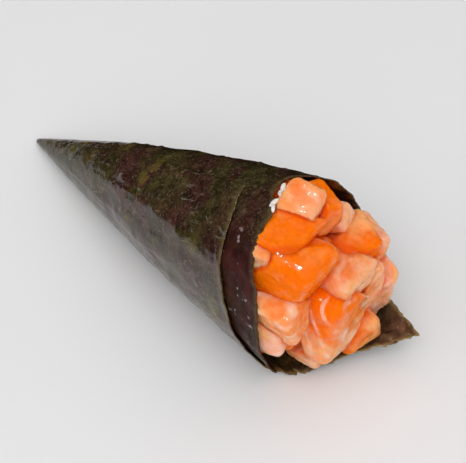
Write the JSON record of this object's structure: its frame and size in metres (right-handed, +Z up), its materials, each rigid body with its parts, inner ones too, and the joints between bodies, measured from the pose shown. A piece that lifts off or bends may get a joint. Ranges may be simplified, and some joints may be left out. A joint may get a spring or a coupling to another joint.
{
  "type": "temaki hand roll",
  "caption": "Salmon temaki hand roll lying on its side: a cone of nori packed with diced raw salmon that stands out of the mouth.",
  "frame": {"origin": "middle of the bounding box's underside, on the surface that the roll lies on", "axes": "+X along the cone from its tip to its mouth, +Y across it to the side that the loose corner of nori is on, +Z up"},
  "size_m": [0.1342, 0.0492, 0.0562],
  "materials": {
    "nori": "dark green-brown roasted seaweed, faintly shiny",
    "salmon": "raw salmon, moist, orange with pale fat lines"
  },
  "bodies": {
    "root": {"nori": "nori", "salmon_core": "salmon", "salmon_big_near": "salmon", "salmon_brow_far": "salmon", "salmon_cheek_far": "salmon", "salmon_chin": "salmon", "salmon_crown_far": "salmon", "salmon_crown_near": "salmon", "salmon_ear_far": "salmon", "salmon_foot_back": "salmon", "salmon_foot_far": "salmon", "salmon_foot_middle": "salmon", "salmon_foot_near": "salmon", "salmon_jowl_near": "salmon", "salmon_middle": "salmon", "salmon_middle_far": "salmon", "salmon_shoulder": "salmon", "salmon_sliver_crown": "salmon", "salmon_sliver_near": "salmon"}
  },
  "joints": []
}
